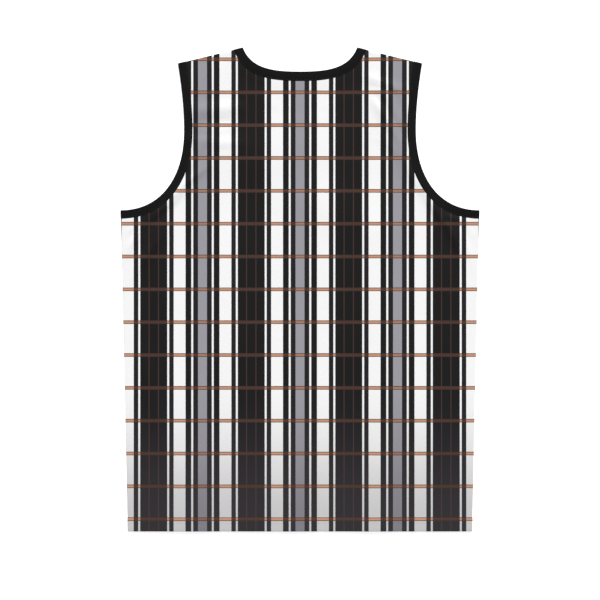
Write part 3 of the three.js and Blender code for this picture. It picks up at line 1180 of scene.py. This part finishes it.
@dataclass(frozen=True)
class BlackKnit:
    """Black knit of the folded strips, ribbed across their length."""

    colour: tuple[int, int, int] = (10, 10, 11)
    rib: float = 0.9
    row_share: float = 0.2
    relief: float = 0.09
    mottle: float = 0.5
    mottle_noise: tuple[float, float] = (260.0, 2.0)

    def material(self) -> bpy.types.Material:
        """The finish as a material."""
        graph = Graph("black_ribbed_cloth")
        along, around = graph.flat_place()
        row = graph.math("SINE", graph.math("MULTIPLY", around, 2 * math.pi / self.rib))
        rounded = graph.math("MULTIPLY_ADD", row, self.row_share, 1.0 - self.row_share)
        height = graph.math("MULTIPLY", graph.zigzag(along, self.rib / 2), rounded)
        mottled = graph.noise(*self.mottle_noise)
        colour = graph.toned(linear(*self.colour), mottled, self.mottle, 1.0 - self.mottle / 2)
        graph.surface(
            colour,
            height,
            self.relief,
            Roughness=0.7,
            Specular_IOR_Level=0.12,
            Sheen_Weight=0.02,
            Sheen_Roughness=0.5,
        )
        return graph.material


@dataclass(frozen=True)
class BlackThread:
    """Black sewing thread with a slight gloss and a fine twist."""

    colour: tuple[int, int, int] = (20, 20, 21)
    twist: float = 9.0
    twist_shade: float = 0.15
    relief: float = 0.03

    def material(self) -> bpy.types.Material:
        """The finish as a material."""
        graph = Graph("black_thread")
        twist = graph.math("MULTIPLY", graph.math("ADD", *graph.flat_place()), self.twist)
        ply = graph.math("SINE", twist)
        # Painted shade and light: the thread's colour is darker in the twist's grooves and lighter on its
        # ridges, in step with the bump.
        colour = graph.toned(linear(*self.colour), ply, self.twist_shade, 1.0)
        graph.surface(colour, ply, self.relief, Roughness=0.45, Specular_IOR_Level=0.3)
        return graph.material


@dataclass
class Jersey:
    """The garment: two panels, three folded strips and their sewing."""

    cut: Cut = field(default_factory=Cut)
    section_spacing: float = 2.2
    seam_gap: float = 3.4
    hem_rows: tuple[float, float] = (13.0, 18.5)
    hem_samples: int = 240
    hem_stitch_rise: float = 0.04

    def __post_init__(self) -> None:
        """Lays the bed and mixes the finishes."""
        self.bed = Bed(self.cut)
        self.printed = PrintedKnit().material()
        self.black = BlackKnit().material()
        self.thread = BlackThread().material()
        self.stitches = StitchTree()

    def _finish(self, piece: bpy.types.Object, material: bpy.types.Material | None) -> None:
        """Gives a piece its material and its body.

        Args:
            piece: The piece.
            material: Its finish, or None where it already has one.
        """
        if material is not None:
            piece.data.materials.clear()
            piece.data.materials.append(material)
        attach(piece, "root")
        log.info("%s: %d faces", piece.name, len(piece.data.polygons))

    def panels(self) -> None:
        divisions = {
            Face.BACK: Division(body_rows=124, armhole_rows=50, neck_rows=30, columns=88, split=0.8),
            Face.FRONT: Division(body_rows=40, armhole_rows=30, neck_rows=26, columns=30, split=0.62),
        }
        for face, division in divisions.items():
            panel = Panel(self.cut, self.bed, face, division)
            piece = panel.build()
            self._finish(piece, self.printed)
            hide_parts(f"{face.value}_panel")
            self.flat_area(face)

    def flat_area(self, face: Face) -> float:
        """The area of one panel's cut as it shows, in square metres, out to the edges of its strips."""
        neck, hole = self.cut.neckline(face).points, self.cut.armhole(face).points
        outline = np.concatenate(
            [[(0.0, self.cut.hem_y), (self.cut.hem_half, self.cut.hem_y)], hole, neck[::-1]]
        )
        x, y = outline[:, 0], outline[:, 1]
        half = abs(np.dot(x, np.roll(y, -1)) - np.dot(y, np.roll(x, -1))) / 2
        return 2 * float(half) * MM * MM

    def _run(self, edge: BoundEdge, hand: Hand, face: Face, backwards: bool, skip: slice) -> Station:
        """The sections of one strip on one edge, side and layer."""
        distances = edge.sections(self.section_spacing)
        return Station(edge, hand, face, (distances[::-1] if backwards else distances)[skip])

    def strips(self) -> list[Strip]:
        """Builds the neck's and armholes' strips, in place of their solids.

        Returns:
            The strips, for their sewing.
        """
        cut, run = self.cut, self._run
        necks = {face: cut.neckline(face) for face in Face}
        holes = {face: cut.armhole(face) for face in Face}
        whole, after, between = slice(None), slice(1, None), slice(1, -1)
        made = [
            Strip(
                "neck_strip",
                self.bed,
                [
                    run(necks[Face.BACK], Hand.LEFT, Face.BACK, True, whole),
                    run(necks[Face.BACK], Hand.RIGHT, Face.BACK, False, after),
                    run(necks[Face.FRONT], Hand.RIGHT, Face.FRONT, True, after),
                    run(necks[Face.FRONT], Hand.LEFT, Face.FRONT, False, between),
                ],
                turned=False,
            )
        ]
        for hand, name in ((Hand.LEFT, "left"), (Hand.RIGHT, "right")):
            runs = [
                run(holes[Face.BACK], hand, Face.BACK, False, whole),
                run(holes[Face.FRONT], hand, Face.FRONT, True, between),
            ]
            made.append(Strip(f"armhole_strip_{name}", self.bed, runs, turned=hand is Hand.RIGHT))
        for strip in made:
            piece = strip.build()
            self._finish(piece, self.black)
            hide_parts(strip.name.replace("strip", "binding"))
        return made

    def sewing(self, strips: list[Strip]) -> None:
        """Sews the strips down, and the hem with two rows.

        Args:
            strips: The strips.
        """
        on_strips = Stitch(self.thread, pitch=2.9, length=2.45)
        on_hem = Stitch(self.printed, pitch=3.1, length=2.7)
        rows = [(f"{strip.name}_stitches", strip.stitch_lines(), on_strips, "black_knit") for strip in strips]
        for face in Face:
            lines = [self._hem_line(face, height) for height in self.hem_rows]
            rows.append((f"hem_stitches_{face.value}", lines, on_hem, "printed_knit"))
        for name, lines, stitch, slot in rows:
            self._finish(self.stitches.sew(name, lines, stitch), None)

    def _hem_line(self, face: Face, height: float) -> tuple[np.ndarray, np.ndarray]:
        """One row of hem stitching, from side seam to side seam.

        Args:
            face: The panel it is on.
            height: Its height over the hem's edge.

        Returns:
            Its points and the outward directions there.
        """
        half = self.cut.hem_half - self.seam_gap
        across = np.linspace(-half, half, self.hem_samples)
        points = np.stack([np.abs(across), np.full_like(across, self.cut.hem_y + height)], axis=-1)
        extra, rise = (Panel.hem_extra, self.hem_stitch_rise) if face is Face.BACK else (0.0, -Stitch.radius)
        proud = Panel.thickness / 2 + extra
        places = np.zeros((2, len(across), 3))
        for hand in Hand:
            mine = across * hand.value >= 0
            for i, out in enumerate((proud, proud + 1.0)):
                places[i, mine] = self.bed.lay(points[mine], hand, face, out, 0.0)
        ups = unit(places[1] - places[0])
        return places[0] + ups * rise, ups


@dataclass(frozen=True)
class Studio:
    """A pale floor, soft light and the camera straight above.

    Lengths are in metres, apart from the floor's relief in millimetres, and angles in degrees. The
    light stands at its azimuth, from +Y towards +X, and at its elevation over the floor.
    """

    frame_width: float = 0.9365
    aim: tuple[float, float] = (0.0, -0.0166)
    camera_height: float = 3.4
    sensor: float = 36.0
    clip_end: float = 100.0
    floor_half: float = 15.0
    floor_drop: float = 0.0002
    floor_tone: float = 0.97
    floor_glow: float = 0.6
    floor_speckle: tuple[float, float] = (0.01, 0.985)
    floor_relief: float = 0.01
    sun_azimuth: float = 8.0
    sun_elevation: float = 35.0
    sun_angle: float = 18.0
    sun_strength: float = 3.7
    world_strength: float = 0.41

    def build(self) -> None:
        """Sets up the whole studio."""
        bpy.context.scene.view_settings.view_transform = "Standard"
        self._floor()
        self._sun()
        self._world()
        self._camera()

    def _floor(self) -> None:
        """The surface the garment lies on."""
        signs = [(-1, -1), (1, -1), (1, 1), (-1, 1)]
        mesh = bpy.data.meshes.new("floor")
        corners = [(x * self.floor_half, y * self.floor_half, -self.floor_drop) for x, y in signs]
        mesh.from_pydata(corners, [], [(0, 1, 2, 3)])
        floor = placed("floor", mesh)
        graph = Graph("floor")
        speckle = graph.math("MULTIPLY_ADD", graph.noise(3.0, 2.0), *self.floor_speckle)
        colour = graph.mix(1.0, (*[self.floor_tone] * 3, 1.0), speckle, "MULTIPLY")
        graph.surface(
            colour,
            speckle,
            self.floor_relief,
            Roughness=0.9,
            Specular_IOR_Level=0.1,
            Emission_Strength=self.floor_glow,
        )
        mesh.materials.append(graph.material)

    def _sun(self) -> None:
        """One large soft light."""
        light = bpy.data.lights.new("key", "SUN")
        light.energy = self.sun_strength
        light.angle = math.radians(self.sun_angle)
        turn = (math.radians(90.0 - self.sun_elevation), 0.0, math.radians(180.0 - self.sun_azimuth))
        placed("key", light).rotation_euler = turn

    def _world(self) -> None:
        """Even white light from all round."""
        world = bpy.data.worlds.new("studio")
        world.use_nodes = True
        background = world.node_tree.nodes["Background"]
        background.inputs["Color"].default_value = (1.0, 1.0, 1.0, 1.0)
        background.inputs["Strength"].default_value = self.world_strength
        bpy.context.scene.world = world

    def _camera(self) -> None:
        """The camera, which looks straight down."""
        lens = bpy.data.cameras.new("camera")
        lens.sensor_width = self.sensor
        lens.lens = self.sensor * self.camera_height / self.frame_width
        lens.clip_end = self.clip_end
        camera = placed("camera", lens)
        camera.location = (*self.aim, self.camera_height)
        bpy.context.scene.camera = camera


def main() -> None:
    """Builds the jersey and its studio."""
    logging.basicConfig(level=logging.INFO, format="%(name)s: %(message)s")
    jersey = Jersey()
    jersey.panels()
    strips = jersey.strips()
    jersey.sewing(strips)
    Studio().build()


if __name__ == "__main__":
    main()
